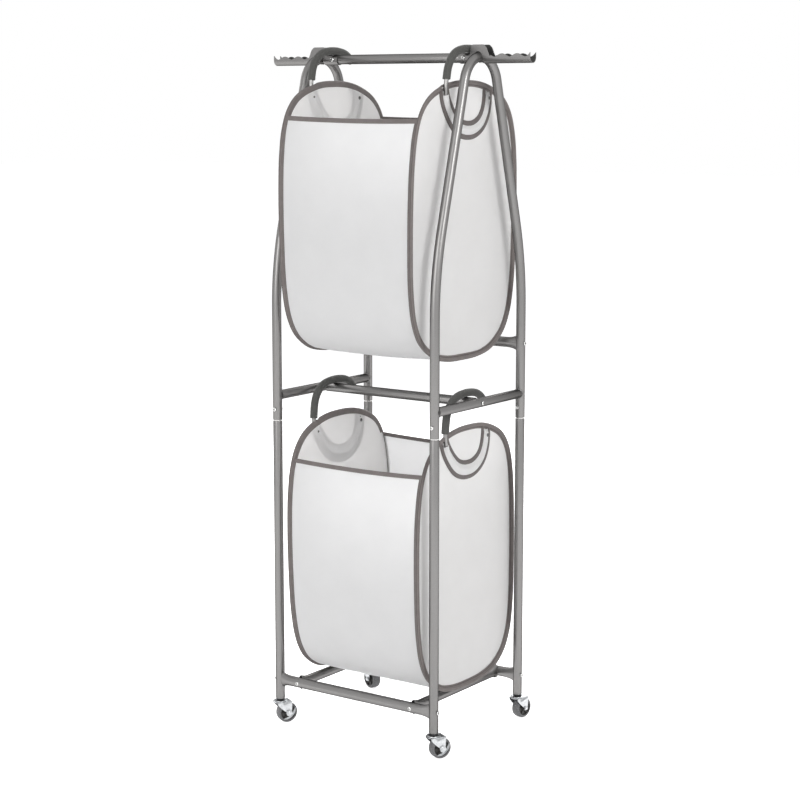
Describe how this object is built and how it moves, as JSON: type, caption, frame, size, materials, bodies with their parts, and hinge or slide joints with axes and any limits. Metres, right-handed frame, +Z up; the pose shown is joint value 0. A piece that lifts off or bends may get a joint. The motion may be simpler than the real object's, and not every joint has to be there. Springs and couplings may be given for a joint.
{
  "type": "rolling laundry hamper cart",
  "caption": "Tall tube-frame laundry cart on swivel casters, with fabric bins hung by foam-covered hooks from cross bars and notched arms for clothes hangers.",
  "frame": {"origin": "on the floor under the middle of the frame", "axes": "+X to the right along the cross bars, +Y to the rear, +Z up"},
  "size_m": [0.724, 0.4394, 1.6157],
  "materials": {
    "frame": "satin silver-grey powder coat on steel tube",
    "zinc": "bright zinc plate on pressed steel",
    "screw": "plated screws",
    "socket": "dark moulded plastic",
    "tyre": "hard grey wheel with a lighter tread",
    "sling": "white coated woven polyester",
    "panel": "white woven polyester with taupe binding tape over a wire rim",
    "foam": "dark grey closed-cell foam sleeve",
    "hook": "silver-grey coated steel rod"
  },
  "bodies": {
    "frame": {"arch_left": "frame", "side_bar_left": "frame", "hanger_arm_left": "frame", "bin_rest_left": "frame", "arm_screw_left": "screw", "centre_bar_screw_left": "screw", "upper_rail_screw_left": "screw", "arch_right": "frame", "side_bar_right": "frame", "hanger_arm_right": "frame", "bin_rest_right": "frame", "arm_screw_right": "screw", "centre_bar_screw_right": "screw", "upper_rail_screw_right": "screw", "centre_bar": "frame", "top_bar": "frame", "upper_rear_rail": "frame", "lower_front_rail": "frame", "leg_front_left": "frame", "joint_bolt_front_left": "screw", "lower_rail_screw_front_left": "screw", "caster_socket_front_left": "socket", "leg_front_right": "frame", "joint_bolt_front_right": "screw", "lower_rail_screw_front_right": "screw", "caster_socket_front_right": "socket", "lower_rear_rail": "frame", "leg_rear_left": "frame", "joint_bolt_rear_left": "screw", "lower_rail_screw_rear_left": "screw", "caster_socket_rear_left": "socket", "leg_rear_right": "frame", "joint_bolt_rear_right": "screw", "lower_rail_screw_rear_right": "screw", "caster_socket_rear_right": "socket"},
    "caster_front_left": {"caster_fork_front_left": "zinc"},
    "caster_wheel_front_left": {"wheel_front_left": "tyre"},
    "caster_brake_front_left": {"brake_lever_front_left": "zinc"},
    "caster_front_right": {"caster_fork_front_right": "zinc"},
    "caster_wheel_front_right": {"wheel_front_right": "tyre"},
    "caster_brake_front_right": {"brake_lever_front_right": "zinc"},
    "caster_rear_left": {"caster_fork_rear_left": "zinc"},
    "caster_wheel_rear_left": {"wheel_rear_left": "tyre"},
    "caster_rear_right": {"caster_fork_rear_right": "zinc"},
    "caster_wheel_rear_right": {"wheel_rear_right": "tyre"},
    "upper_bin": {"upper_bin_sling": "sling", "upper_bin_panel_left": "panel", "upper_bin_hook_left": "hook", "upper_bin_grip_left": "foam", "upper_bin_panel_right": "panel", "upper_bin_hook_right": "hook", "upper_bin_grip_right": "foam"},
    "lower_bin": {"lower_bin_sling": "sling", "lower_bin_panel_left": "panel", "lower_bin_hook_left": "hook", "lower_bin_grip_left": "foam", "lower_bin_panel_right": "panel", "lower_bin_hook_right": "hook", "lower_bin_grip_right": "foam"}
  },
  "joints": [
    {"name": "caster_front_left_swivel", "type": "hinge", "parent": "frame", "child": "caster_front_left", "pos_m": [-0.225, -0.18, 0.055], "axis": [0, 0, 1], "continuous": true},
    {"name": "caster_front_left_roll", "type": "hinge", "parent": "caster_front_left", "child": "caster_wheel_front_left", "pos_m": [-0.21774, -0.16574, 0.025], "axis": [-0.891, 0.454, 0], "continuous": true},
    {"name": "caster_brake_front_left_press", "type": "hinge", "parent": "caster_front_left", "child": "caster_brake_front_left", "pos_m": [-0.21774, -0.16574, 0.025], "axis": [-0.891, 0.454, 0], "range_deg": [0, 22]},
    {"name": "caster_front_right_swivel", "type": "hinge", "parent": "frame", "child": "caster_front_right", "pos_m": [0.225, -0.18, 0.055], "axis": [0, 0, 1], "continuous": true},
    {"name": "caster_front_right_roll", "type": "hinge", "parent": "caster_front_right", "child": "caster_wheel_front_right", "pos_m": [0.23226, -0.16574, 0.025], "axis": [-0.891, 0.454, 0], "continuous": true},
    {"name": "caster_brake_front_right_press", "type": "hinge", "parent": "caster_front_right", "child": "caster_brake_front_right", "pos_m": [0.23226, -0.16574, 0.025], "axis": [-0.891, 0.454, 0], "range_deg": [0, 22]},
    {"name": "caster_rear_left_swivel", "type": "hinge", "parent": "frame", "child": "caster_rear_left", "pos_m": [-0.225, 0.18, 0.055], "axis": [0, 0, 1], "continuous": true},
    {"name": "caster_rear_left_roll", "type": "hinge", "parent": "caster_rear_left", "child": "caster_wheel_rear_left", "pos_m": [-0.20997, 0.17453, 0.025], "axis": [0.342, 0.9397, 0], "continuous": true},
    {"name": "caster_rear_right_swivel", "type": "hinge", "parent": "frame", "child": "caster_rear_right", "pos_m": [0.225, 0.18, 0.055], "axis": [0, 0, 1], "continuous": true},
    {"name": "caster_rear_right_roll", "type": "hinge", "parent": "caster_rear_right", "child": "caster_wheel_rear_right", "pos_m": [0.2275, 0.1958, 0.025], "axis": [-0.9877, 0.1564, 0], "continuous": true},
    {"name": "upper_bin_swing", "type": "hinge", "parent": "frame", "child": "upper_bin", "pos_m": [0, 0, 1.586], "axis": [1, 0, 0], "range_deg": [-20, 1.5]},
    {"name": "lower_bin_swing", "type": "hinge", "parent": "frame", "child": "lower_bin", "pos_m": [0, 0, 0.803], "axis": [1, 0, 0], "range_deg": [-15, 15]}
  ]
}
